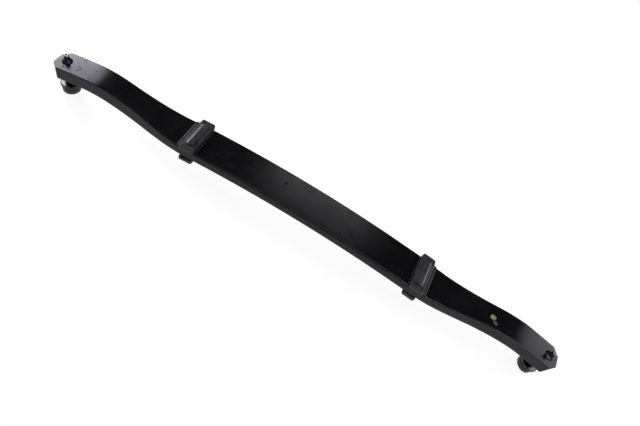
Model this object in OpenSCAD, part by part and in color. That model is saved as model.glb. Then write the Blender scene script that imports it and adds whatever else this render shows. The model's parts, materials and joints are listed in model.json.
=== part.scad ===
// Transverse composite leaf spring with two rubber centre mounts and a swivelling rubber foot at each end.
// +X runs along the leaf, +Y across its width, +Z is up. The spring stands on its two feet at z = 0,
// and its centre is over the origin. Every length is in millimetres.

/* [Leaf length and curve] */
// Length of the leaf from tip to tip
leaf_len = 1244; // [1236:2:1254]
// Radius of the long arch that the top face follows
arch_r = 2620; // [2500:20:2800]
// Height by which each end zone is lifted off that arch
end_lift = 47.5; // [44:0.5:50]
// Distance from the centre at which the lift begins
lift_from = 295; // [292:1:305]
// Distance from the centre at which the lift is complete
lift_to = 541; // [530:1:550]

/* [Leaf section] */
// Width of the leaf between the centre mounts
mid_w = 88.5; // [84:0.5:90]
// Width of the leaf at its ends
end_w = 59.5; // [56:0.5:62]
// Distance from the centre at which the leaf begins to narrow
narrow_from = 257; // [250:1:262]
// Distance from the centre at which the leaf has its end width
narrow_to = 452; // [440:1:470]
// Thickness of the leaf between the centre mounts
mid_t = 21; // [20:0.5:22]
// Thickness of the leaf at its ends, measured vertically
end_t = 29; // [28:0.5:30]
// Distance from the centre at which the leaf begins to thicken
thick_from = 290; // [285:1:295]
// Distance from the centre at which the leaf has its end thickness
thick_to = 460; // [440:1:470]
// Length of the corner cut at each tip, along the leaf
tip_cut_x = 16; // [12:1:18]
// Depth of the corner cut at each tip, across the leaf
tip_cut_y = 15.5; // [12:0.5:18]

/* [Centre mounts] */
// Distance from the centre to the middle of each mount
mount_x = 277.5; // [276:0.5:278]
// Length of the upper pad's block along the leaf
pad_len = 34; // [33:0.5:35]
// Height of the upper pad's block
pad_h = 11; // [10:0.5:12]
// Overhang of the upper pad past each side of the leaf
pad_over = 4; // [3:0.5:5]
// Length of the raised rib along the leaf
rib_len = 16; // [15:1:19]
// Width of the raised rib across the leaf
rib_w = 72; // [66:1:76]
// Height of the raised rib above the block
rib_h = 3.5; // [3:0.5:5]
// Slope of the rib's outboard side, in degrees
rib_slope = 31; // [25:1:45]
// Number of grip teeth along the inboard edge of the upper pad
teeth = 10; // [6:1:11]
// Height of the lower pad's recessed neck
neck_h = 2.6; // [2.5:0.1:4]
// Length of the lower pad's slab along the leaf
slab_len = 31.5; // [30:0.5:33]
// Height of the lower pad's slab
slab_h = 8; // [8:0.5:10]
// Thickness of the steel plate bonded into each pad
insert_t = 2.5; // [2:0.5:3]

/* [Arm flex] */
// Distance from the centre to the axis on which each arm turns
arm_pivot_x = 288; // [287:0.5:289]
// Largest upward turn of each arm, in degrees
arm_up = 13; // [8:1:13]
// Largest downward turn of each arm, in degrees
arm_down = 3; // [1:1:3]

/* [End fittings] */
// Distance from the centre to each stud, on the top face
stud_x = 598.5; // [595:0.5:601]
// Diameter of the stud
stud_d = 9; // [8.8:0.1:9.2]
// Height of the stud's tip above the leaf
stud_h = 17; // [16:0.5:19]
// Width of the hexagon socket in the stud's tip, across its flats
socket_w = 5; // [4:0.5:5]
// Depth of the hexagon socket
socket_depth = 4; // [3:0.5:5]
// Outer diameter of the sleeve in the leaf
sleeve_d = 18; // [16:0.5:20]
// Diameter of the retaining clip's flange
clip_d = 23; // [22:0.5:25]
// Thickness of the retaining clip's flange
clip_t = 3.6; // [3:0.2:4]
// Diameter of the retaining clip's collar
collar_d = 11; // [10.8:0.2:12]
// Height of the retaining clip's collar above the leaf
collar_h = 14; // [13:0.5:15]
// Diameter of the tube between the leaf and the foot
spacer_d = 24; // [20:0.5:25]
// Diameter of the plated disc on top of the foot
plate_d = 41; // [40:0.5:41]
// Diameter of the foot's rubber lip round the plated disc
lip_d = 44; // [43:0.5:46]
// Thickness of the plated disc
plate_t = 3; // [2.5:0.5:3.5]
// Depth of the plated disc's top face below the leaf
plate_drop = 24.5; // [20:0.5:25]
// Diameter of the rubber foot
foot_d = 39.5; // [38:0.5:41]
// Height from the leaf's underside to the bottom of the foot
foot_drop = 48.5; // [48:0.5:51]
// Radius of the rounded bottom edge of the foot
foot_round = 6; // [4:0.5:7]
// Radius of the ball at the lower end of the stud
ball_r = 8; // [7.5:0.5:8]
// Largest tilt of the foot to either side, in degrees
foot_tilt = 8; // [5:1:8]

/* [Hidden] */

$fn = 64;
leaf_colour = "#17171b";
rubber_colour = "#2c2c2f";
steel_colour = "#6d6f73";
zinc_colour = "#c9cbd0";
clip_colour = "#1d1d20";

// A small overlap that lets a cut pass clean through a face
eps = 1;
// Gap between parts that move past each other
gap = 0.3;
// Gap between a shaft and the hole that grips it
fit_gap = 0.05;
// Room round the leaf for shapes that cut across all of it
reach = 120;

// Smooth step from 0 at a to 1 at b
function ease(a, b, x) = let (t = max(0, min(1, (x - a) / (b - a)))) t * t * (3 - 2 * t);
// Height of the top face below its centre, at a distance x from the centre
function arch(x) = end_lift * ease(lift_from, lift_to, x) - x * x / (2 * arch_r);
function thickness(x) = mid_t + (end_t - mid_t) * ease(thick_from, thick_to, x);
function half_width(x) = (mid_w - (mid_w - end_w) * ease(narrow_from, narrow_to, x)) / 2;

// Stations along the leaf: wide steps on the plain arch, closer ones where the leaf changes
blank_half = leaf_len / 2 + 12;
stations = [for (x = [0 : 16 : 240]) x, for (x = [252 : 12 : 552]) x, 576, 600, blank_half];

// Slopes of the top face at the mounts and the studs
mount_angle = atan(mount_x / arch_r);
end_angle = atan(stud_x / arch_r);
end_perp_t = end_t * cos(end_angle);

// Heights along the stud's axis, from the ball's centre
plate_top = 6.5;
ball_depth = end_perp_t + plate_drop + plate_top;
foot_below = foot_drop - plate_drop - plate_top;
spacer_bottom = plate_top + spacer_d / 2 * tan(foot_tilt) + gap;
cup_r = 12.5;
cup_bottom = -11;

// Height of the leaf's centre that puts the lowest point of the feet at z = 0
foot_reach = end_perp_t + foot_drop;
foot_low = arch(stud_x) - (foot_reach - foot_round) * cos(end_angle)
    - (foot_d / 2 - foot_round) * sin(end_angle) - foot_round;
crest_z = -foot_low;

// Axis of each arm, at the middle of the leaf's thickness, and the knuckle round it
pivot_z = crest_z + arch(arm_pivot_x) - mid_t / 2;
knuckle_r = mid_t / 2 * cos(mount_angle) - 0.2;
knuckle_gap = 0.5;

// ---- Shared shapes ----

// Rectangle with round corners, centred
module round_rect(l, w, r) {
    square([l - 2 * r, w], center = true);
    square([l, w - 2 * r], center = true);
    for (x = [-1, 1], y = [-1, 1])
        translate([x * (l / 2 - r), y * (w / 2 - r)]) circle(r);
}

// Puts children at a mount: origin on the top face, +Z along the face's normal, +X outboard
module at_mount(side) {
    scale_x(side) translate([mount_x, 0, crest_z + arch(mount_x)]) rotate([0, mount_angle, 0]) children();
}

// Puts children at a stud: origin on the top face, +Z along the stud, +X outboard
module at_stud(side) {
    scale_x(side) translate([stud_x, 0, crest_z + arch(stud_x)]) rotate([0, end_angle, 0]) children();
}

// Puts children at the ball on the lower end of a stud
module at_ball(side) {
    at_stud(side) translate([0, 0, -ball_depth]) children();
}

// Mirrors children to the left when side is -1
module scale_x(side) {
    mirror([side < 0 ? 1 : 0, 0, 0]) children();
}

// Cylinder across the leaf on the axis of the right arm
module knuckle(r) {
    translate([arm_pivot_x, 0, pivot_z]) rotate([90, 0, 0]) cylinder(h = 2 * reach, r = r, center = true);
}

// Side outline of the right half of the leaf
module side_outline() {
    polygon(concat(
        [for (x = stations) [x, crest_z + arch(x)]],
        [for (i = [len(stations) - 1 : -1 : 0])
            [stations[i], crest_z + arch(stations[i]) - thickness(stations[i])]]));
}

// Plan outline of the right half of the leaf
module plan_outline() {
    polygon(concat(
        [for (x = stations) [x, -half_width(x)]],
        [for (i = [len(stations) - 1 : -1 : 0]) [stations[i], half_width(stations[i])]]));
}

// End outline seen along the stud, with the two corners cut off
module tip_outline() {
    tip = (leaf_len / 2 - stud_x) / cos(end_angle);
    edge = end_w / 2;
    polygon([
        [-leaf_len / 2, -reach], [tip - tip_cut_x, -reach], [tip - tip_cut_x, -edge],
        [tip, tip_cut_y - edge], [tip, edge - tip_cut_y],
        [tip - tip_cut_x, edge], [tip - tip_cut_x, reach], [-leaf_len / 2, reach]
    ]);
}

// Right half of the leaf as one piece, before it is divided
module half_blank() {
    intersection() {
        rotate([90, 0, 0]) linear_extrude(2 * reach, center = true) side_outline();
        linear_extrude(3 * reach, center = true) plan_outline();
        at_stud(1) linear_extrude(4 * reach, center = true) tip_outline();
    }
}

// ---- Leaf ----

// Middle of the leaf, with a round hollow at each end for the arms' knuckles
module leaf_centre() {
    color(leaf_colour) for (side = [-1, 1]) scale_x(side) difference() {
        intersection() {
            half_blank();
            translate([0, -reach, -reach]) cube([arm_pivot_x, 2 * reach, 4 * reach]);
        }
        knuckle(knuckle_r + knuckle_gap);
    }
}

// One arm: knuckle, narrowing blade and drilled end
module leaf_arm(side) {
    color(leaf_colour) scale_x(side) difference() {
        intersection() {
            half_blank();
            union() {
                knuckle(knuckle_r);
                translate([arm_pivot_x + 2, -reach, -reach]) cube([leaf_len, 2 * reach, 4 * reach]);
            }
        }
        at_stud(1) translate([0, 0, -end_perp_t - eps])
            cylinder(h = end_perp_t + 2 * eps, d = sleeve_d + 2 * fit_gap);
    }
}

// ---- Centre mounts ----

pad_w = 2 * half_width(mount_x) + 2 * pad_over;
insert_w = pad_w - 14;
tooth = 2.4;
tooth_pitch = (pad_w - 16) / teeth;

// Space that an arm's top or bottom face sweeps when it turns by the given angle; up is 1 or -1
module swept_wedge(up, angle) {
    start = -2 * gap / tan(angle);
    far = 40;
    back = -up * 3 * eps;
    translate([arm_pivot_x - mount_x, 0, 0]) rotate([90, 0, 0])
        linear_extrude(2 * reach, center = true)
        polygon([[start, back], [start, 0], [far, up * (2 * gap + far * tan(angle))], [far, back]]);
}

// Raised rib on top of the upper pad, with a sloping outboard side
module rib() {
    low_face = 0.5;
    difference() {
        translate([0, 0, pad_h - eps]) linear_extrude(rib_h + eps) round_rect(rib_len, rib_w, 6);
        translate([rib_len / 2, -reach, pad_h + low_face]) rotate([0, rib_slope, 0])
            translate([-rib_len, 0, 0]) cube([rib_len, 2 * reach, rib_len]);
    }
}

// Upper pad: block with a raised rib, and grip teeth along its inboard edge
module upper_pad(side) {
    color(rubber_colour) difference() {
        at_mount(side) {
            translate([0, 0, -eps]) linear_extrude(pad_h + eps) round_rect(pad_len, pad_w, 5);
            rib();
            for (i = [0 : teeth - 1])
                translate([-pad_len / 2, (i - (teeth - 1) / 2) * tooth_pitch, tooth / 2])
                    cube([tooth, tooth_pitch / 2, tooth], center = true);
        }
        scale_x(side) half_blank();
        at_mount(side) swept_wedge(1, arm_up + 0.5);
        upper_insert(side);
    }
}

// Steel plate bonded into the upper pad
module upper_insert(side) {
    color(steel_colour) at_mount(side) translate([0, 0, pad_h / 2])
        linear_extrude(insert_t) round_rect(pad_len - 8, insert_w, 4);
}

// Puts children under the leaf at a mount: origin on the bottom face
module under_mount(side) {
    at_mount(side) translate([0, 0, -mid_t * cos(mount_angle)]) children();
}

// Lower pad: recessed neck and a wider slab
module lower_pad(side) {
    color(rubber_colour) difference() {
        under_mount(side) {
            translate([0, 0, -neck_h - eps]) linear_extrude(neck_h + 2 * eps)
                round_rect(slab_len - 6, pad_w - 2 * pad_over - 2, 3);
            translate([0, 0, -neck_h - slab_h]) linear_extrude(slab_h) round_rect(slab_len, pad_w, 5);
        }
        scale_x(side) half_blank();
        under_mount(side) swept_wedge(-1, arm_down + 1);
        lower_insert(side);
    }
}

// Steel plate bonded into the lower pad
module lower_insert(side) {
    color(steel_colour) under_mount(side) translate([0, 0, -neck_h - slab_h / 2 - insert_t / 2])
        linear_extrude(insert_t) round_rect(slab_len - 8, insert_w, 4);
}

// ---- End fittings ----

// Stud with a ball at its lower end, and a chamfered tip with a hexagon socket
module stud(side) {
    chamfer = 1;
    tip = ball_depth + stud_h;
    color(zinc_colour) at_ball(side) difference() {
        union() {
            sphere(ball_r);
            cylinder(h = tip - chamfer, d = stud_d);
            translate([0, 0, tip - chamfer])
                cylinder(h = chamfer, d1 = stud_d, d2 = stud_d - 2 * chamfer);
        }
        translate([0, 0, tip - socket_depth])
            cylinder(h = socket_depth + eps, d = socket_w / cos(30), $fn = 6);
    }
}

// Steel sleeve that lines the hole through the leaf
module sleeve(side) {
    color(steel_colour) at_stud(side) translate([0, 0, 0.1 - end_perp_t]) difference() {
        cylinder(h = end_perp_t - 0.2, d = sleeve_d);
        translate([0, 0, -eps]) cylinder(h = end_perp_t + 2 * eps, d = stud_d + 2 * fit_gap);
    }
}

// Push-on retaining clip: round flange and a fluted collar that grips the stud
module clip(side) {
    flutes = 10;
    color(clip_colour) at_stud(side) difference() {
        union() {
            translate([0, 0, 0.1]) cylinder(h = clip_t - 1.6, d = clip_d);
            translate([0, 0, clip_t - 1.5]) cylinder(h = 1.5, d1 = clip_d, d2 = clip_d - 5);
            cylinder(h = collar_h, d1 = collar_d + 1, d2 = collar_d - 0.6);
        }
        translate([0, 0, -eps]) cylinder(h = collar_h + 2 * eps, d = stud_d + 2 * fit_gap);
        for (i = [0 : flutes - 1]) rotate([0, 0, i * 360 / flutes])
            translate([collar_d / 2 + 0.3, 0, clip_t + 0.6]) cylinder(h = collar_h, r = 0.7);
        translate([-clip_d, -clip_d, -eps]) cube([2 * clip_d, 2 * clip_d, eps + 0.1]);
    }
}

// Black tube between the leaf and the foot
module spacer(side) {
    color(clip_colour) at_ball(side) translate([0, 0, spacer_bottom]) difference() {
        cylinder(h = plate_top + plate_drop - spacer_bottom - 0.1, d = spacer_d);
        translate([0, 0, -eps]) cylinder(h = plate_drop + 2 * eps, d = stud_d + 2 * fit_gap);
    }
}

// Plated disc on top of the foot, with a hole that lets the foot tilt round the stud
module foot_plate(side) {
    hole_r = stud_d / 2 + 2;
    edge = 0.6;
    color(zinc_colour) at_ball(side) translate([0, 0, plate_top - plate_t]) difference() {
        union() {
            cylinder(h = plate_t - edge, d = plate_d);
            translate([0, 0, plate_t - edge]) cylinder(h = edge, d1 = plate_d, d2 = plate_d - 2 * edge);
        }
        translate([0, 0, -eps]) cylinder(h = plate_t + 2 * eps, r = hole_r);
        translate([0, 0, plate_t - plate_top]) sphere(ball_r + gap);
    }
}

// Rubber foot: lip round the plated disc, grooved side and rounded bottom edge, moulded round the cup
module foot(side) {
    r = foot_d / 2;
    top = plate_top - plate_t;
    groove = 1.3;
    flange = 1.5;
    color(rubber_colour) at_ball(side) rotate_extrude() difference() {
        union() {
            translate([0, foot_round - foot_below]) square([r, top + foot_below - foot_round]);
            translate([0, -foot_below]) square([r - foot_round, foot_round + eps]);
            intersection() {
                translate([r - foot_round, foot_round - foot_below]) circle(foot_round);
                translate([0, -foot_below]) square([r, foot_round + eps]);
            }
            translate([0, top - flange]) square([lip_d / 2, flange + plate_t]);
        }
        translate([0, top]) square([plate_d / 2, plate_t + eps]);
        for (y = [-0.5, -4.5]) translate([r - groove, y]) square([groove + eps, 1.6]);
        translate([0, cup_bottom]) square([cup_r, top - cup_bottom + eps]);
    }
}

// Steel cup inside the foot, which holds the stud's ball
module foot_cup(side) {
    color(steel_colour) at_ball(side) difference() {
        translate([0, 0, cup_bottom]) cylinder(h = plate_top - plate_t - cup_bottom, r = cup_r);
        sphere(ball_r + gap);
    }
}

leaf_centre();
leaf_arm(-1);  // left_leaf_arm
leaf_arm(1);  // right_leaf_arm
upper_pad(-1);  // left_upper_pad
upper_pad(1);  // right_upper_pad
lower_pad(-1);  // left_lower_pad
lower_pad(1);  // right_lower_pad
upper_insert(-1);  // left_upper_insert
upper_insert(1);  // right_upper_insert
lower_insert(-1);  // left_lower_insert
lower_insert(1);  // right_lower_insert
stud(-1);  // left_stud
stud(1);  // right_stud
sleeve(-1);  // left_sleeve
sleeve(1);  // right_sleeve
clip(-1);  // left_clip
clip(1);  // right_clip
spacer(-1);  // left_spacer
spacer(1);  // right_spacer
foot_plate(-1);  // left_foot_plate
foot_plate(1);  // right_foot_plate
foot(-1);  // left_foot
foot(1);  // right_foot
foot_cup(-1);  // left_foot_cup
foot_cup(1);  // right_foot_cup
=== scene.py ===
"""Looks of a transverse composite leaf spring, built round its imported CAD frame.

+X runs along the leaf, +Y across it and +Z up. Shapes are worked out in millimetres and placed in metres.
"""
import json
import math
import random

import bmesh
import bpy
from mathutils import Matrix, Vector


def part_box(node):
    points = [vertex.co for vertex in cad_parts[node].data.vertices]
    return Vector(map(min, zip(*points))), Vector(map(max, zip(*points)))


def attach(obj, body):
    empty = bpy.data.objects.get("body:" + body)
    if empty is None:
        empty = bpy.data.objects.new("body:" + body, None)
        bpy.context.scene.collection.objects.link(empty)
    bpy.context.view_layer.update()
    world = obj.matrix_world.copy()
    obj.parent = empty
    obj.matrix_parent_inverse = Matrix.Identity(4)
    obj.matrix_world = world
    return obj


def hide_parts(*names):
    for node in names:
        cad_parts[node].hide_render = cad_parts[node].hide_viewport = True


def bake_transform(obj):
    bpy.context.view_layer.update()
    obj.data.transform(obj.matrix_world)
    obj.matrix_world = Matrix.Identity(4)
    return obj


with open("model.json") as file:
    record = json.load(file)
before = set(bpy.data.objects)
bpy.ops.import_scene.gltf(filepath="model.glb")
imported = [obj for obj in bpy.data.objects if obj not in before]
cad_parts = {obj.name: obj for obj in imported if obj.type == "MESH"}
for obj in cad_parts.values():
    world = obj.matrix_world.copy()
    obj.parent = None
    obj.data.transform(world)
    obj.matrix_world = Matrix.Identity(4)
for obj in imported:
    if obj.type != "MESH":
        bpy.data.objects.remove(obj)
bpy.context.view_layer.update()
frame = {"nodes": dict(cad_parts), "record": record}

MM = 0.001
SIDES = {"left": -1, "right": 1}
random.seed(7)

# ---- Driving dimensions, in millimetres ----

MOUNTS = {m["name"]: m for m in frame["record"]["mounts"]}
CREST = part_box("leaf_centre")[1].z / MM
MID_HALF_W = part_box("leaf_centre")[1].y / MM
LEAF_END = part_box("right_leaf_arm")[1].x / MM
FOOT_R = MOUNTS["right_foot_rim"]["dims"]["r_mm"]

ARCH_R = 2620
END_LIFT, LIFT_FROM, LIFT_TO = 47.5, 295, 541
END_HALF_W, NARROW_FROM, NARROW_TO = 29.75, 257, 452
MID_T, END_T, THICK_FROM, THICK_TO = 21, 29, 290, 460
TIP_CUT_X, TIP_CUT_Y = 16, 15.5

MOUNT_X = 277.5
PAD_H, PAD_OVER = 11, 4
PAD_INBOARD, PAD_OUTBOARD, LIP_OUTBOARD = -16.8, 19, 26
RIB_H, RIB_W, RIB_INBOARD, RIB_OUTBOARD, RIB_SLOPE = 3.5, 72, -8, 12, 8.6
TEETH, TOOTH_W, TOOTH_H, TOOTH_REACH = 10, 4.4, 2.8, 3.2
NECK_H, SLAB_H, SLAB_L = 2.6, 8, 31.5

STUD_X = 598.5
STUD_R, STUD_H = 4.5, 17
STUD_HOLE_R = 9.05
SOCKET_W, SOCKET_DEPTH = 5, 4
CLIP_R, CLIP_T, COLLAR_H = 11.5, 3.6, 14
SPACER_R = 12
PLATE_R, PLATE_T, PLATE_TOP, PLATE_DROP = 20.5, 3, 6.5, 24.5
LIP_R = 22
FOOT_ROUND, FOOT_BELOW = 6, 17.5
CUP_R, CUP_BOTTOM = 12.5, -11
BALL_R = 8
FOOT_TILT, TILT_GAP = math.radians(8), 0.3

MOUNT_ANGLE = math.atan(MOUNT_X / ARCH_R)
END_ANGLE = math.atan(STUD_X / ARCH_R)
END_PERP_T = END_T * math.cos(END_ANGLE)
BALL_DEPTH = END_PERP_T + PLATE_DROP + PLATE_TOP
PAD_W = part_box("right_upper_pad")[1].y / MM * 2
SEAM = 0.25
BLOCK_W = PAD_W - 2 * SEAM


def ease(a, b, x):
    """Smooth step from 0 at a to 1 at b."""
    t = max(0.0, min(1.0, (x - a) / (b - a)))
    return t * t * (3 - 2 * t)


def top_z(x):
    return CREST + END_LIFT * ease(LIFT_FROM, LIFT_TO, abs(x)) - x * x / (2 * ARCH_R)


def thickness(x):
    return MID_T + (END_T - MID_T) * ease(THICK_FROM, THICK_TO, abs(x))


def half_width(x):
    return MID_HALF_W - (MID_HALF_W - END_HALF_W) * ease(NARROW_FROM, NARROW_TO, abs(x))


# ---- Camera ----

def make_camera():
    """Looks down on the near side of the leaf at 50 degrees, rolled so that the leaf slopes to the right."""
    elevation, roll = math.radians(50), math.radians(31.4)
    distance, focal_length = 1.3927, 37.38
    across = Vector((1, 0, 0))
    up = Vector((0, math.sin(elevation), math.cos(elevation)))
    view = Vector((0, math.cos(elevation), -math.sin(elevation)))
    aim = Vector((0, 0, CREST * MM)) + 0.0262 * across - 0.0090 * up
    right = math.cos(roll) * across + math.sin(roll) * up
    upright = math.cos(roll) * up - math.sin(roll) * across
    camera = bpy.data.objects.new("camera", bpy.data.cameras.new("camera"))
    bpy.context.scene.collection.objects.link(camera)
    camera.data.lens = focal_length
    camera.data.sensor_width = 36
    turn = Matrix((right, upright, -view)).transposed().to_4x4()
    camera.matrix_world = Matrix.Translation(aim - distance * view) @ turn
    bpy.context.scene.camera = camera


make_camera()


# ---- Node helpers ----

class Shader:
    """A node tree with short calls for the nodes that the materials use."""

    def __init__(self, name):
        self.material = bpy.data.materials.new(name)
        self.material.use_nodes = True
        self.tree = self.material.node_tree
        self.bsdf = self.tree.nodes["Principled BSDF"]

    def node(self, kind, inputs=None, **settings):
        made = self.tree.nodes.new(kind)
        for key, value in settings.items():
            setattr(made, key, value)
        for key, value in (inputs or {}).items():
            self.put(made.inputs[key], value)
        return made

    def put(self, socket, value):
        if isinstance(value, bpy.types.NodeSocket):
            self.tree.links.new(value, socket)
        else:
            socket.default_value = value

    def set(self, **inputs):
        """Sets the Principled shader's sockets; underscores in a name stand for spaces."""
        for key, value in inputs.items():
            self.put(self.bsdf.inputs[key.replace("_", " ")], value)

    def place(self, attribute=None, stretch=(1, 1, 1)):
        """Coordinates in metres: the object's own, or those that a mesh attribute keeps from rest."""
        if attribute:
            source = self.node("ShaderNodeAttribute", attribute_name=attribute).outputs["Vector"]
        else:
            source = self.node("ShaderNodeTexCoord").outputs["Object"]
        return self.node("ShaderNodeMapping", {"Vector": source, "Scale": stretch}).outputs[0]

    def noise(self, place, scale, detail=3.0, roughness=0.5):
        inputs = {"Vector": place, "Scale": scale, "Detail": detail, "Roughness": roughness}
        return self.node("ShaderNodeTexNoise", inputs).outputs["Fac"]

    def cells(self, place, scale, feature="F1"):
        made = self.node("ShaderNodeTexVoronoi", {"Vector": place, "Scale": scale}, feature=feature)
        return made.outputs["Distance"]

    def span(self, value, low, high, to_low=0.0, to_high=1.0):
        """Maps low..high to to_low..to_high, smoothly and clamped."""
        inputs = {0: value, 1: low, 2: high, 3: to_low, 4: to_high}
        return self.node("ShaderNodeMapRange", inputs, interpolation_type="SMOOTHSTEP").outputs[0]

    def math(self, operation, a, b=0.0):
        return self.node("ShaderNodeMath", {0: a, 1: b}, operation=operation).outputs[0]

    def mix(self, share, a, b):
        return self.node("ShaderNodeMix", {0: share, 6: a, 7: b}, data_type="RGBA").outputs[2]

    def bump(self, height, distance, strength=1.0, under=None):
        inputs = {"Height": height, "Distance": distance, "Strength": strength}
        if under is not None:
            inputs["Normal"] = under
        return self.node("ShaderNodeBump", inputs).outputs[0]


def grey(value, blue=0.0):
    return (value, value, value + blue, 1)


# ---- Materials ----

COOL_SHINE = (0.92, 0.90, 1.0, 1)


def leaf_paint():
    """Gloss black paint with faint orange peel, dull patches, dust specks, fine scratches and a few rubs."""
    s = Shader("leaf_paint")
    place = s.place("rest_place")
    along = s.place("rest_place", stretch=(0.16, 1, 1))
    slanted = s.place("rest_place", stretch=(1, 0.06, 1))
    patches = s.noise(place, 26, 4, 0.6)
    peel = s.noise(place, 900, 2)
    grain = s.noise(along, 420, 4, 0.65)
    specks = s.span(s.cells(place, 230), 0.07, 0.03)
    clusters = s.span(s.noise(place, 18, 2), 0.56, 0.66)
    dust = s.math("MULTIPLY", specks, clusters)
    lines = s.span(s.cells(slanted, 330, "DISTANCE_TO_EDGE"), 0.012, 0.003)
    scuffed = s.span(s.noise(place, 34, 3, 0.7), 0.63, 0.74)
    scratches = s.math("MULTIPLY", lines, scuffed)
    marks = s.math("MAXIMUM", dust, s.math("MULTIPLY", scratches, 0.6))
    warp = s.node("ShaderNodeTexNoise", {"Vector": place, "Scale": 55.0}).outputs["Color"]
    shift = {0: warp, 1: (0.004, 0.004, 0.004), 2: place}
    bent = s.node("ShaderNodeVectorMath", shift, operation="MULTIPLY_ADD").outputs[0]
    rub_lines = s.span(s.cells(bent, 42, "DISTANCE_TO_EDGE"), 0.030, 0.010)
    rubs = s.math("MULTIPLY", rub_lines, s.span(s.noise(place, 38, 2), 0.60, 0.66))
    base = s.mix(patches, grey(0.0054, 0.0012), grey(0.0074, 0.0016))
    s.set(Base_Color=s.mix(marks, base, grey(0.055, 0.004)))
    gloss = s.span(patches, 0.3, 0.75, 0.13, 0.24)
    dull = s.math("MAXIMUM", marks, rubs)
    s.set(Roughness=s.math("ADD", gloss, s.math("MULTIPLY", dull, 0.3)))
    soft = s.bump(grain, 0.00004, 0.5)
    s.set(Normal=s.bump(peel, 0.00003, 0.35, soft))
    s.set(Specular_IOR_Level=s.span(rubs, 0.0, 1.0, 0.20, 0.07), Specular_Tint=COOL_SHINE)
    return s.material


def moulded_rubber(name, shade, mould_scale=520):
    """Matt moulded rubber: fine mould texture, a chalky bloom in patches and darker handled areas."""
    s = Shader(name)
    place = s.place()
    bloom = s.noise(place, 60, 5, 0.62)
    pores = s.noise(place, mould_scale * 3, 3, 0.6)
    skin = s.noise(place, mould_scale, 2)
    pits = s.span(s.cells(place, 700), 0.10, 0.04)
    s.set(Base_Color=s.mix(s.span(bloom, 0.35, 0.72), grey(shade * 0.72), grey(shade * 1.45, 0.001)))
    s.set(Roughness=s.span(bloom, 0.3, 0.7, 0.34, 0.52))
    low = s.bump(skin, 0.00012, 0.5)
    pitted = s.bump(s.math("SUBTRACT", pores, pits), 0.00005, 0.6, low)
    s.set(Normal=pitted, Specular_IOR_Level=0.38, Specular_Tint=COOL_SHINE)
    return s.material


def zinc(name, shade, gloss):
    """Zinc plate over turned steel: clouds, fine turning lines, and a near-black painted shade where a
    mesh's point attribute for it is 1.
    """
    s = Shader(name)
    place = s.place()
    clouds = s.noise(place, 90, 3, 0.55)
    lines = s.noise(s.place(stretch=(1, 1, 7)), 700, 2)
    painted_shade = s.node("ShaderNodeAttribute", attribute_name="painted_shade").outputs["Fac"]
    spots = s.span(s.cells(place, 380), 0.09, 0.03)
    cool, warm = (shade * 0.95, shade * 0.98, shade * 1.04, 1), (shade * 1.05, shade, shade * 0.92, 1)
    plated = s.mix(s.math("MULTIPLY", spots, 0.5), s.mix(clouds, cool, warm), grey(shade * 0.5))
    # Painted shade: where the attribute is 1 the colour goes near black, standing in for the shade inside
    # the stud's hexagon socket.
    s.set(Base_Color=s.mix(painted_shade, plated, grey(0.008)))
    s.set(Metallic=1.0, Roughness=s.span(clouds, 0.3, 0.7, gloss, gloss + 0.12))
    s.set(Normal=s.bump(lines, 0.00004, 0.4))
    return s.material


def bare_steel():
    """Plain steel of the hidden plates, sleeves and cups, with dull oxide clouds."""
    s = Shader("bare_steel")
    place = s.place()
    clouds = s.noise(place, 120, 4, 0.6)
    s.set(Base_Color=s.mix(clouds, (0.26, 0.26, 0.27, 1), (0.45, 0.44, 0.42, 1)))
    s.set(Metallic=1.0, Roughness=s.span(clouds, 0.3, 0.7, 0.35, 0.55))
    s.set(Normal=s.bump(s.noise(place, 1500, 2), 0.00003, 0.4))
    return s.material


def phosphated():
    """Black phosphated steel: crystalline bump and worn, lighter patches."""
    s = Shader("phosphated")
    place = s.place()
    worn = s.noise(place, 210, 4, 0.6)
    crystals = s.cells(place, 2600)
    s.set(Base_Color=s.mix(s.span(worn, 0.5, 0.8), grey(0.006, 0.001), grey(0.030, 0.002)))
    s.set(Metallic=0.3, Roughness=s.span(worn, 0.35, 0.7, 0.38, 0.28), Specular_IOR_Level=0.3)
    s.set(Normal=s.bump(crystals, 0.00004, 0.5))
    return s.material


def marker_paint(name, colour, edge, attribute):
    """Brushed-on marker paint, thicker in the middle, with brush streaks."""
    s = Shader(name)
    place = s.place(attribute)
    streaks = s.noise(s.place(attribute, stretch=(0.3, 1, 1)), 900, 3, 0.6)
    blots = s.noise(place, 300, 3)
    s.set(Base_Color=s.mix(s.span(s.math("ADD", streaks, blots), 0.8, 1.15), edge, colour))
    s.set(Roughness=s.span(blots, 0.3, 0.7, 0.38, 0.55), Normal=s.bump(streaks, 0.00006, 0.6))
    return s.material


PAINT = leaf_paint()
PAD_RUBBER = moulded_rubber("pad_rubber", 0.021)
FOOT_RUBBER = moulded_rubber("foot_rubber", 0.022, 640)
STUD_ZINC = zinc("stud_zinc", 0.30, 0.24)
PLATE_ZINC = zinc("plate_zinc", 0.075, 0.26)
STEEL = bare_steel()
PHOSPHATE = phosphated()
DOT_PAINT = marker_paint("dot_paint", (0.35, 0.37, 0.16, 1), (0.17, 0.20, 0.06, 1), "rest_place")
SMEAR_PAINT = marker_paint("smear_paint", (0.085, 0.08, 0.085, 1), (0.015, 0.015, 0.018, 1), "rest_place")


# ---- Mesh helpers ----

def at_mount():
    """Right mount: origin on the top face, +Z along its normal, +X outboard."""
    return Matrix.Translation((MOUNT_X, 0, top_z(MOUNT_X))) @ Matrix.Rotation(MOUNT_ANGLE, 4, "Y")


def at_stud():
    """Right stud: origin on the top face, +Z along the stud, +X outboard."""
    return Matrix.Translation((STUD_X, 0, top_z(STUD_X))) @ Matrix.Rotation(END_ANGLE, 4, "Y")


def at_ball():
    return at_stud() @ Matrix.Translation((0, 0, -BALL_DEPTH))


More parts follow.
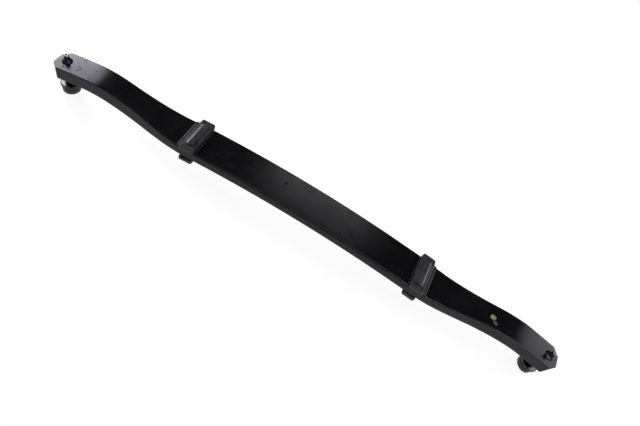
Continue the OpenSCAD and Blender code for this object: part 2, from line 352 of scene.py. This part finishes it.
def loft(rings, closed=False):
    """Skins rings of points, with a flat cap at each end, or in a closed loop."""
    bm = bmesh.new()
    rows = [[bm.verts.new(p) for p in ring] for ring in rings]
    pairs = list(zip(rows, rows[1:] + rows[:1])) if closed else list(zip(rows, rows[1:]))
    for a, b in pairs:
        for i in range(len(a)):
            j = (i + 1) % len(a)
            bm.faces.new((a[i], a[j], b[j], b[i]))
    if not closed:
        bm.faces.new(rows[0])
        bm.faces.new(rows[-1])
    return bm


def lathe(outline, segments=96):
    """Turns a closed outline of (radius, height) points round Z; points on the axis become poles."""
    def ring(k):
        turn = 2 * math.pi * k / segments
        return [(r * math.cos(turn), r * math.sin(turn), z) for r, z in outline]
    bm = loft([ring(k) for k in range(segments)], closed=True)
    bmesh.ops.remove_doubles(bm, verts=bm.verts, dist=1e-4)
    bmesh.ops.dissolve_degenerate(bm, edges=bm.edges, dist=1e-5)
    return bm


def arc(x, z, r, start, end, steps=6, squash=1.0):
    """Points on an arc about (x, z), from start to end degrees; squash scales its X."""
    angles = [math.radians(start + (end - start) * k / steps) for k in range(steps + 1)]
    return [(x + r * squash * math.cos(a), z + r * math.sin(a)) for a in angles]


def make(name, bm, side=1, matrix=None, flat=True):
    """Turns a millimetre bmesh into an object in metres; side -1 mirrors it to the left."""
    if matrix is not None:
        bm.transform(matrix)
    bm.transform(Matrix.Diagonal((side * MM, MM, MM, 1)))
    bmesh.ops.recalc_face_normals(bm, faces=bm.faces)
    mesh = bpy.data.meshes.new(name)
    bm.to_mesh(mesh)
    bm.free()
    made = bpy.data.objects.new(name, mesh)
    bpy.context.scene.collection.objects.link(made)
    smooth(made, flat)
    return made


def smooth(made, flat=True):
    """Smooth shading with sharp edges past 34 degrees; flat faces keep their own normals."""
    made.data.polygons.foreach_set("use_smooth", [True] * len(made.data.polygons))
    made.data.set_sharp_from_angle(angle=math.radians(34))
    if flat and "normals" not in made.modifiers:
        modifier = made.modifiers.new("normals", "WEIGHTED_NORMAL")
        modifier.keep_sharp = True


def combine(base, others, operation="UNION"):
    """Joins the others to base as one solid, or cuts them out of it."""
    base.modifiers.clear()
    for other in others:
        modifier = base.modifiers.new("combine", "BOOLEAN")
        modifier.operation, modifier.object, modifier.solver = operation, other, "EXACT"
    bpy.context.view_layer.update()
    evaluated = base.evaluated_get(bpy.context.evaluated_depsgraph_get())
    mesh = bpy.data.meshes.new_from_object(evaluated)
    base.modifiers.clear()
    base.data = mesh
    for other in others:
        bpy.data.objects.remove(other)
    smooth(base)
    return base


def finish_piece(made, material):
    made.data.materials.clear()
    made.data.materials.append(material)
    return made


def keep_rest_place(made):
    """Stores where each point is at rest, so that the paint doesn't slide when the leaf bends."""
    places = made.data.attributes.new("rest_place", "FLOAT_VECTOR", "POINT")
    places.data.foreach_set("vector", [c for v in made.data.vertices for c in v.co])


# ---- Leaf ----

# The leaf's centre and its arms meet out of sight, inside the mounts
SPLIT_X = MOUNT_X
MID_ROUND, END_ROUND = 3.4, 1.7
LOW_ROUND = 1.1
CORNER_STEPS = 6
CROWN, CROWN_STEPS = 0.35, 8


def edge_round(x):
    """Radius of the top face's long edges: softer in the middle than towards the ends."""
    return MID_ROUND + (END_ROUND - MID_ROUND) * ease(200, 430, abs(x))


def crown(y, half):
    """Drop of the gently crowned top face below its middle, at y across the leaf."""
    return CROWN * (y / half)**2


def leaf_section(x, tilt=0.0, half=None, inset=0.0):
    """Rounded section of the leaf on a plane through the top face at x, leaning outboard by tilt."""
    half = (half_width(x) if half is None else half) - inset
    side = -1 if x < 0 else 1
    down = Vector((-side * math.sin(tilt), 0, -math.cos(tilt)))
    top = Vector((x, 0, top_z(x)))
    depth = thickness(x)
    for _ in range(4):
        low_x = x + down.x * depth
        depth = (top.z - top_z(low_x) + thickness(low_x)) / -down.z
    top, depth = top + down * inset, depth - 2 * inset
    high_r, low_r = max(0.2, edge_round(x) - inset), max(0.2, LOW_ROUND - inset)
    high = crown(half - high_r, half) + high_r
    corners = [(1, high_r, high, 90, 0), (1, low_r, depth - low_r, 0, -90),
               (-1, low_r, depth - low_r, 270, 180), (-1, high_r, high, 180, 90)]
    ring = []
    for sign, r, centre, start, end in corners:
        for y, rise in arc(sign * (half - r), 0, r, start, end, CORNER_STEPS):
            ring.append(top + down * (centre - rise) + Vector((0, y, 0)))
    for k in range(1, CROWN_STEPS):
        y = (half - high_r) * (2 * k / CROWN_STEPS - 1)
        ring.append(top + down * crown(y, half) + Vector((0, y, 0)))
    return ring


def tip_half_width(a, cut_start):
    """Half width over the corner cut, a millimetres past the stud; the cut starts with a small round."""
    blend = 1.0
    slope = TIP_CUT_Y / TIP_CUT_X
    past = a - (cut_start - blend)
    if past <= 0:
        return END_HALF_W
    if past < 2 * blend:
        return END_HALF_W - slope * past * past / (4 * blend)
    return END_HALF_W - slope * (a - cut_start)


def arm_sections():
    """Stations of the right arm from the mount to the tip."""
    tip = (LEAF_END - STUD_X) / math.cos(END_ANGLE)
    cut_start = tip - TIP_CUT_X
    rounding = 1.2
    rings = []
    x = SPLIT_X
    while x < STUD_X + cut_start - 2:
        rings.append(leaf_section(x, END_ANGLE * ease(470, 545, x)))
        x += 4.0
    steps = [-1.0, -0.5, 0, 0.5, 1.0, 4.0, 8.0, 11.5]
    for a in [cut_start + step for step in steps]:
        rings.append(leaf_section(STUD_X + a * math.cos(END_ANGLE), END_ANGLE, tip_half_width(a, cut_start)))
    for k in range(6):
        turn = math.radians(90 * k / 5)
        a = tip - rounding + rounding * math.sin(turn)
        inset = rounding * (1 - math.cos(turn))
        x = STUD_X + a * math.cos(END_ANGLE)
        rings.append(leaf_section(x, END_ANGLE, tip_half_width(a, cut_start), inset))
    return rings


def make_leaf_centre():
    count = round(2 * SPLIT_X / 5)
    stations = [SPLIT_X * (2 * k / count - 1) for k in range(count + 1)]
    leaf = make("leaf_centre_look", loft([leaf_section(x) for x in stations]))
    keep_rest_place(leaf)
    finish_piece(leaf, PAINT)
    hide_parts("leaf_centre")
    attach(leaf, "mid_span")


def flex(made):
    """Bakes a piece's placement into its mesh, without bending it."""
    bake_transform(made)


def make_leaf_arm(name):
    side = SIDES[name]
    arm = make(f"{name}_leaf_arm_look", loft(arm_sections()), side)
    low, high = -END_PERP_T - 5, 5
    drill = lathe([(0, low), (STUD_HOLE_R, low), (STUD_HOLE_R, high), (0, high)], 64)
    combine(arm, [make("drill", drill, side, at_stud())], "DIFFERENCE")
    keep_rest_place(arm)
    finish_piece(arm, PAINT)
    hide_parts(f"{name}_leaf_arm")
    flex(arm)


# ---- Rubber pads ----

def rounded_rect(x0, x1, width, r, z, steps=5):
    """Outline between x0 and x1 at height z, with round corners."""
    centres = [(x1 - r, width / 2 - r, 0), (x0 + r, width / 2 - r, 90),
               (x0 + r, r - width / 2, 180), (x1 - r, r - width / 2, 270)]
    return [(x, y, z) for cx, cy, start in centres for x, y in arc(cx, cy, r, start, start + 90, steps)]


def moulded_block(x0, x1, width, corner, z0, z1, slope=0.0, top_round=1.5, low_round=0.8, seam=0.0):
    """Block with round edges; slope draws its outboard face in towards the top; seam is a parting ridge."""
    levels = [(z0 + low_round * (1 - math.cos(math.radians(22.5 * k))),
               low_round * (1 - math.sin(math.radians(22.5 * k)))) for k in range(5)]
    if seam:
        middle = (z0 + z1) / 2
        levels += [(middle - 0.5, 0), (middle - 0.2, -seam), (middle + 0.2, -seam), (middle + 0.5, 0)]
    levels += [(z1 - top_round * (1 - math.sin(math.radians(18 * k))),
                top_round * (1 - math.cos(math.radians(18 * k)))) for k in range(6)]
    rings = []
    for z, inset in levels:
        outboard = x1 - slope * (z - z0) / (z1 - z0)
        r = max(0.4, corner - inset)
        rings.append(rounded_rect(x0 + inset, outboard - inset, width - 2 * inset, r, z))
    return loft(rings)


def make_upper_pad(name):
    """Block with a thin outboard lip, a raised rib with a long bevel, and grip teeth on the inboard edge."""
    side = SIDES[name]
    place = at_mount()
    pitch = (PAD_W - 16) / TEETH
    block = make(f"{name}_upper_pad_look",
                 moulded_block(PAD_INBOARD, PAD_OUTBOARD, BLOCK_W, 4, -0.25, PAD_H, slope=5, top_round=1.1,
                               seam=SEAM), side, place)
    rib = moulded_block(RIB_INBOARD, RIB_OUTBOARD, RIB_W, 6, PAD_H - 2, PAD_H + RIB_H, slope=RIB_SLOPE,
                        top_round=0.9)
    lip = moulded_block(PAD_INBOARD + 4, LIP_OUTBOARD, PAD_W - 12, 3, -0.35, 2.3, slope=1.0, top_round=0.9)
    extra = [make("rib", rib, side, place), make("lip", lip, side, place)]
    for i in range(TEETH):
        y = (i - (TEETH - 1) / 2) * pitch
        tooth = moulded_block(PAD_INBOARD - TOOTH_REACH, PAD_INBOARD + 2, TOOTH_W, 1.6, -0.2, TOOTH_H,
                              top_round=1.5, low_round=0.3)
        extra.append(make("tooth", tooth, side, place @ Matrix.Translation((0, y, 0))))
    combine(block, extra)
    finish_piece(block, PAD_RUBBER)
    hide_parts(f"{name}_upper_pad")
    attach(block, "mid_span")


def make_lower_pad(name):
    """Recessed neck against the leaf and a wider slab with a parting ridge and two drain grooves."""
    side = SIDES[name]
    place = at_mount() @ Matrix.Translation((0, 0, -MID_T * math.cos(MOUNT_ANGLE)))
    half = SLAB_L / 2
    slab = make(f"{name}_lower_pad_look",
                moulded_block(-half, half, BLOCK_W, 4.5, -NECK_H - SLAB_H, -NECK_H, low_round=1.6,
                              seam=SEAM), side, place)
    neck = moulded_block(3 - half, half - 3, PAD_W - 2 * PAD_OVER - 2, 3, -NECK_H - 3, 0.3, top_round=0.3)
    combine(slab, [make("neck", neck, side, place)])
    grooves = []
    for y in (-PAD_W / 4, PAD_W / 4):
        groove = moulded_block(-half - 2, half + 2, 3, 1.2, -NECK_H - SLAB_H - 3, -NECK_H - SLAB_H + 1.2)
        grooves.append(make("groove", groove, side, place @ Matrix.Translation((0, y, 0))))
    combine(slab, grooves, "DIFFERENCE")
    finish_piece(slab, PAD_RUBBER)
    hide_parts(f"{name}_lower_pad")
    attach(slab, "mid_span")


# ---- End fittings ----

THREAD_PITCH, THREAD_LENGTH, CHAMFER = 1.25, 14, 0.9


def petal(index, count):
    """One finger of the clip's collar, from its root up to a lip that turns out slightly."""
    gap, steps = math.radians(6), 6
    span = 2 * math.pi / count - gap
    levels = [(5.0, 4.75, 6.4), (7.0, 4.6, 6.0), (10.0, 4.55, 5.6), (12.5, 4.55, 5.4),
              (13.3, 4.6, 5.45), (COLLAR_H, 4.75, 5.3)]
    start = index * (span + gap)
    rings = []
    for z, inner, outer in levels:
        angles = [start + span * k / steps for k in range(steps + 1)]
        ring = [(outer * math.cos(a), outer * math.sin(a), z) for a in angles]
        ring += [(inner * math.cos(a), inner * math.sin(a), z) for a in reversed(angles)]
        rings.append(ring)
    return loft(rings)


def make_clip(name):
    """Push-on retaining clip: dished flange, conical root and eight spring fingers."""
    side, fingers = SIDES[name], 8
    rim = CLIP_R - 0.9
    outline = [(STUD_R + 0.1, 0.12), (rim, 0.12)] + arc(rim, 1.02, 0.9, -90, 70, 8)
    outline += [(9.4, 2.5), (8.6, 3.1), (7.8, CLIP_T), (7.2, 4.4), (6.7, 5.4), (STUD_R + 0.2, 5.6)]
    clip = make(f"{name}_clip_look", lathe(outline), side, at_stud())
    combine(clip, [make("petal", petal(i, fingers), side, at_stud()) for i in range(fingers)])
    finish_piece(clip, PHOSPHATE)
    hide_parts(f"{name}_clip")
    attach(clip, f"{name}_arm")


def hexagon(r, turn):
    """Distance to the edge of a hexagon with corners at r, in the direction of turn (0 to 1)."""
    return r * math.cos(math.pi / 6) / math.cos((turn * 6 % 1 - 0.5) * math.pi / 3)


def stud_levels(tip):
    """(radius, height, kind) of the stud's rings, from the ball up to the tip and down its socket."""
    neck = math.sqrt(BALL_R**2 - STUD_R**2)
    turns = [math.radians(6 * k) for k in range(1, 30)]
    ball = [(BALL_R * math.sin(a), -BALL_R * math.cos(a), "plain") for a in turns]
    levels = [ring for ring in ball if ring[1] < neck]
    levels += [(STUD_R, neck, "plain"), (STUD_R, neck + 8, "plain"), (STUD_R, tip - THREAD_LENGTH, "plain")]
    count = round((THREAD_LENGTH - CHAMFER) / THREAD_PITCH * 8)
    levels += [(STUD_R, tip - THREAD_LENGTH + THREAD_PITCH * k / 8, "thread") for k in range(1, count)]
    levels += [(STUD_R - 0.1, tip - CHAMFER, "plain"), (STUD_R - CHAMFER, tip - 0.05, "plain")]
    corner = SOCKET_W / 2 / math.cos(math.pi / 6)
    levels += [(corner + 0.3, tip, "plain"), (corner, tip - 0.25, "hexagon"), (corner, tip - 0.6, "socket")]
    return levels + [(corner, tip - SOCKET_DEPTH, "socket"), (0.5, tip - SOCKET_DEPTH - 0.4, "socket")]


def make_stud(name):
    """Ball-ended stud with a rolled thread on its upper end, a chamfered tip and a hexagon socket."""
    segments = 72
    tip = BALL_DEPTH + STUD_H
    thread_from = tip - THREAD_LENGTH
    levels = stud_levels(tip)
    rings = []
    for r, z, kind in levels:
        ring = []
        for k in range(segments):
            turn = k / segments
            reach = r
            if kind == "thread":
                phase = ((z - thread_from) / THREAD_PITCH - turn) % 1
                fade = ease(thread_from, thread_from + 2 * THREAD_PITCH, z)
                reach -= 0.42 * fade * max(0.0, 1 - abs(2 * phase - 1) * 1.25)
            elif kind != "plain":
                reach = hexagon(r, turn)
            ring.append((reach * math.cos(2 * math.pi * turn), reach * math.sin(2 * math.pi * turn), z))
        rings.append(ring)
    stud = make(f"{name}_stud_look", loft(rings), SIDES[name], at_ball())
    # Painted shade: the rings inside the hexagon socket get 1, which the zinc shader turns near black in
    # place of the socket's shade.
    painted_shade = stud.data.attributes.new("painted_shade", "FLOAT", "POINT")
    shares = [float(kind == "socket") for _, _, kind in levels for _ in range(segments)]
    painted_shade.data.foreach_set("value", shares)
    finish_piece(stud, STUD_ZINC)
    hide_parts(f"{name}_stud")
    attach(stud, f"{name}_arm")


def make_spacer(name):
    """Black tube under the leaf, clear of the tilting disc, with chamfered ends and one turned groove."""
    low = PLATE_TOP + SPACER_R * math.tan(FOOT_TILT) + TILT_GAP
    high = PLATE_TOP + PLATE_DROP - 0.1
    bore, groove_z = STUD_R + 0.05, high - 6
    outline = [(bore, low), (SPACER_R - 0.6, low), (SPACER_R, low + 0.6), (SPACER_R, groove_z - 1)]
    outline += [(SPACER_R - 0.7, groove_z - 0.6), (SPACER_R - 0.7, groove_z + 0.6), (SPACER_R, groove_z + 1)]
    outline += [(SPACER_R, high - 0.6), (SPACER_R - 0.6, high), (bore, high)]
    spacer = make(f"{name}_spacer_look", lathe(outline), SIDES[name], at_ball())
    finish_piece(spacer, PHOSPHATE)
    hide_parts(f"{name}_spacer")
    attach(spacer, f"{name}_arm")


def make_foot_plate(name):
    """Plated disc set into the foot: rounded rim, a shallow step and a hole relieved round the ball."""
    low, high, hole, relief = PLATE_TOP - PLATE_T, PLATE_TOP, STUD_R + 2, BALL_R + 0.3
    bore_top = math.sqrt(relief**2 - hole**2)
    bore = [low + (bore_top - low) * k / 5 for k in range(5, -1, -1)]
    outline = [(math.sqrt(relief**2 - z * z), z) for z in bore]
    outline += [(PLATE_R - 0.3, low), (PLATE_R, low + 0.3)]
    outline += arc(PLATE_R - 0.5, high - 0.5, 0.5, 0, 90, 5)
    outline += [(hole + 7, high), (hole + 6.4, high - 0.5), (hole + 0.5, high - 0.5), (hole, high - 0.9)]
    plate = make(f"{name}_foot_plate_look", lathe(outline, 128), SIDES[name], at_ball())
    finish_piece(plate, PLATE_ZINC)
    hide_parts(f"{name}_foot_plate")
    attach(plate, f"{name}_swivel_foot")


def make_foot(name):
    """Rubber foot: lip round the plated disc, round grooves, rounded lower edge and a dished sole."""
    r, top = FOOT_R, PLATE_TOP - PLATE_T
    outline = [(CUP_R + 0.02, top), (PLATE_R + 0.02, top), (PLATE_R + 0.02, PLATE_TOP - 0.2)]
    outline += arc(LIP_R - 0.7, PLATE_TOP - 0.7, 0.7, 100, 0, 6)
    outline += arc(LIP_R - 0.6, top - 0.9, 0.6, 0, -90, 4)
    outline += [(r + 0.7, top - 1.5), (r + 0.15, top - 1.75), (r, top - 2.1)]
    for middle in (0.3, -3.7):
        outline += arc(r, middle, 0.8, 90, 270, 8, squash=1.6)
    outline += arc(r - FOOT_ROUND, FOOT_ROUND - FOOT_BELOW, FOOT_ROUND, 0, -90, 12)
    outline += [(9.5, -FOOT_BELOW), (8.7, 0.5 - FOOT_BELOW), (0, 0.7 - FOOT_BELOW), (0, CUP_BOTTOM - 0.02)]
    outline += [(CUP_R + 0.02, CUP_BOTTOM - 0.02)]
    foot = make(f"{name}_foot_look", lathe(outline, 128), SIDES[name], at_ball())
    finish_piece(foot, FOOT_RUBBER)
    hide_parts(f"{name}_foot")
    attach(foot, f"{name}_swivel_foot")


# ---- Marker paint on the right arm ----

def film(name, centre, size, turn, height, wobble, material):
    """A thin dab of paint lying on the top face, with an uneven outline."""
    rings, spokes, bm = 7, 48, bmesh.new()
    waves = [(n, random.uniform(0, 2 * math.pi), wobble / n) for n in (2, 3, 5, 8)]
    top_rows, low_rows = [], []
    for k in range(1, rings + 1):
        share = k / rings
        top_row, low_row = [], []
        for i in range(spokes):
            a = 2 * math.pi * i / spokes
            edge = 1 + sum(w * math.cos(n * a + p) for n, p, w in waves)
            u, v = size[0] / 2 * share * edge * math.cos(a), size[1] / 2 * share * edge * math.sin(a)
            x = centre[0] + u * math.cos(turn) - v * math.sin(turn)
            y = centre[1] + u * math.sin(turn) + v * math.cos(turn)
            face = top_z(x) - crown(y, half_width(x))
            top_row.append(bm.verts.new((x, y, face + height * (1 - share**4) + 0.02)))
            low_row.append(bm.verts.new((x, y, face - 0.05)))
        top_rows.append(top_row)
        low_rows.append(low_row)
    for rows in (top_rows, low_rows):
        bm.faces.new(rows[0])
        for a, b in zip(rows, rows[1:]):
            for i in range(spokes):
                j = (i + 1) % spokes
                bm.faces.new((a[i], a[j], b[j], b[i]))
    for i in range(spokes):
        j = (i + 1) % spokes
        bm.faces.new((top_rows[-1][i], top_rows[-1][j], low_rows[-1][j], low_rows[-1][i]))
    dab = make(name, bm)
    keep_rest_place(dab)
    dab.data.materials.append(material)
    flex(dab)


make_leaf_centre()
for end in SIDES:
    make_leaf_arm(end)
    make_upper_pad(end)
    make_lower_pad(end)
    make_clip(end)
    make_stud(end)
    make_spacer(end)
    make_foot_plate(end)
    make_foot(end)
film("paint_dot", centre=(451, -3), size=(13.5, 11.5), turn=0.4, height=0.22, wobble=0.12,
     material=DOT_PAINT)
film("paint_smear", centre=(457.5, -13), size=(17, 6), turn=-0.72, height=0.08, wobble=0.16,
     material=SMEAR_PAINT)

for end in SIDES:
    for part in ("upper_insert", "lower_insert", "sleeve", "foot_cup"):
        cad_mesh = frame["nodes"][f"{end}_{part}"].data
        cad_mesh.materials.clear()
        cad_mesh.materials.append(STEEL)


# ---- Stage and light ----

LAVENDER = (0.93, 0.92, 1.0, 1)


def emitter(name, colour):
    """Shader that only gives light, and its emission node."""
    s = Shader(name)
    s.tree.nodes.remove(s.bsdf)
    glow = s.node("ShaderNodeEmission", {"Color": colour})
    s.tree.links.new(glow.outputs[0], s.tree.nodes["Material Output"].inputs["Surface"])
    return s, glow


def make_floor():
    """Pale floor, lit from within as well as from above, so that the object's shadow stays faint.

    Matt surfaces take their light from below from the world instead, which is dimmer there.
    """
    s = Shader("floor")
    s.set(Base_Color=grey(0.25), Roughness=0.9, Specular_IOR_Level=0.1)
    s.set(Emission_Color=(1, 1, 1, 1), Emission_Strength=0.88)
    bm = bmesh.new()
    bmesh.ops.create_grid(bm, x_segments=2, y_segments=2, size=12000)
    floor = make("floor", bm, matrix=Matrix.Translation((0, 0, -0.3)), flat=False)
    floor.data.materials.append(s.material)
    floor.visible_diffuse = False


def panel(name, centre, target, size, strength, soft=0.35, grade=None, colour=(1, 1, 1, 1), rim=0.0):
    """Glowing panel at centre that faces target, unseen by the camera; all its lengths are in metres.

    Its strength runs out to rim over the outer share soft of its half width and half height.
    grade is (low, high, gain at low, gain at high) over heights on the panel, from its centre.
    """
    s, glow = emitter(name, colour)
    place = s.node("ShaderNodeSeparateXYZ", {0: s.node("ShaderNodeTexCoord").outputs["Object"]})
    inside = 1.0
    for axis, reach in ((0, size[0] / 2), (1, size[1] / 2)):
        away = s.math("ABSOLUTE", place.outputs[axis])
        inside = s.math("MULTIPLY", inside, s.span(away, reach * (1 - soft), reach, 1.0, 0.0))
    level = s.math("ADD", s.math("MULTIPLY", inside, strength - rim), rim)
    if grade:
        level = s.math("MULTIPLY", level, s.span(place.outputs[1], *grade))
    s.put(glow.inputs["Strength"], level)
    bm = bmesh.new()
    corners = [(-1, -1), (1, -1), (1, 1), (-1, 1)]
    bm.faces.new([bm.verts.new((u * size[0] / 2, v * size[1] / 2, 0)) for u, v in corners])
    mesh = bpy.data.meshes.new(name)
    bm.to_mesh(mesh)
    bm.free()
    made = bpy.data.objects.new(name, mesh)
    bpy.context.scene.collection.objects.link(made)
    mesh.materials.append(s.material)
    centre, target = Vector(centre), Vector(target)
    made.rotation_euler = (target - centre).to_track_quat("Z", "Y").to_euler()
    made.location = centre
    made.visible_camera = False
    return made


def make_world():
    """Pale straight overhead, dim behind, a little brighter towards the front and grey below."""
    world = bpy.data.worlds.new("world")
    world.use_nodes = True
    bpy.context.scene.world = world
    tree = world.node_tree
    background = tree.nodes["Background"]

    def node(kind, inputs, **settings):
        made = tree.nodes.new(kind)
        for key, value in settings.items():
            setattr(made, key, value)
        for key, value in inputs.items():
            if isinstance(value, bpy.types.NodeSocket):
                tree.links.new(value, made.inputs[key])
            else:
                made.inputs[key].default_value = value
        return made.outputs[0]

    direction = tree.nodes.new("ShaderNodeTexCoord").outputs["Generated"]
    axes = tree.nodes.new("ShaderNodeSeparateXYZ")
    tree.links.new(direction, axes.inputs[0])

    def span(value, low, high, to_low, to_high):
        inputs = {0: value, 1: low, 2: high, 3: to_low, 4: to_high}
        return node("ShaderNodeMapRange", inputs, interpolation_type="SMOOTHSTEP")

    front = span(axes.outputs["Y"], -0.25, 0.3, 1.0, 0.05)
    height = span(axes.outputs["Z"], 0.12, 0.45, 0.75, 0.22)
    overhead = span(axes.outputs["Z"], 0.86, 0.98, 0.0, 1.9)
    dome = node("ShaderNodeMath", {0: front, 1: height}, operation="MULTIPLY")
    above = span(axes.outputs["Z"], -0.05, 0.05, 0.0, 1.0)
    level = node("ShaderNodeMath", {0: dome, 1: above}, operation="MULTIPLY")
    below = span(axes.outputs["Z"], -0.05, 0.05, 0.40, 0.0)
    sky = node("ShaderNodeMath", {0: level, 1: overhead}, operation="MAXIMUM")
    total = node("ShaderNodeMath", {0: sky, 1: below}, operation="ADD")
    tree.links.new(total, background.inputs["Strength"])
    background.inputs["Color"].default_value = (1, 1, 1, 1)


def reflected_only(made):
    """Keeps a panel or card out of matt light and shadows, so that it works only in reflections."""
    made.visible_diffuse = False
    made.visible_shadow = False


def make_lights():
    # Softboxes behind the object, which the top of the mid span and of each end mirrors
    panel("mid_softbox", (0, 0.98, 1.14), (0, 0, 0.1), (0.95, 0.5), 2.3, soft=0.6,
          grade=(-0.05, 0.12, 1.1, 0.6))
    panel("left_softbox", (-1.71, 0.90, 0.80), (-0.57, 0, 0.05), (0.92, 1.3), 8.2,
          grade=(-0.1, 0.25, 1.35, 0.85), colour=LAVENDER)
    panel("right_softbox", (1.75, 0.85, 0.80), (0.57, 0, 0.05), (1.1, 1.3), 2.7,
          grade=(-0.05, 0.2, 1.4, 0.8), colour=LAVENDER)

    # A low one for the bevel of the right pad's rib
    panel("low_softbox", (1.75, 1.2, 0.17), (0.29, 0, 0.1), (0.8, 0.3), 8.0, soft=0.5)

    # A light line along the right arm's near edge, and a dark one along the left arm's
    reflected_only(panel("front_softbox", (1.15, -0.40, 1.33), (0.5, 0, 0.05), (0.7, 1.5), 14.0, soft=0.4))
    reflected_only(panel("left_flag", (-1.61, -0.90, 0.73), (-0.6, 0, 0.05), (1.2, 0.8), 0.02,
                         soft=0.2, rim=0.3))

    # Dim cards on the floor darken the near side of the mid span and the far edges of the leaf
    reflected_only(panel("floor_card", (0, -0.24, 0.001), (0, -0.24, 1), (0.9, 0.26), 0.4,
                         soft=0.3, rim=1.0))
    reflected_only(panel("back_card", (0, 0.62, 0.001), (0, 0.62, 1), (2.4, 1.1), 0.08,
                         soft=0.2, rim=0.8))


make_floor()
make_world()
make_lights()

view = bpy.context.scene.view_settings
view.view_transform = "Standard"
view.look = "None"
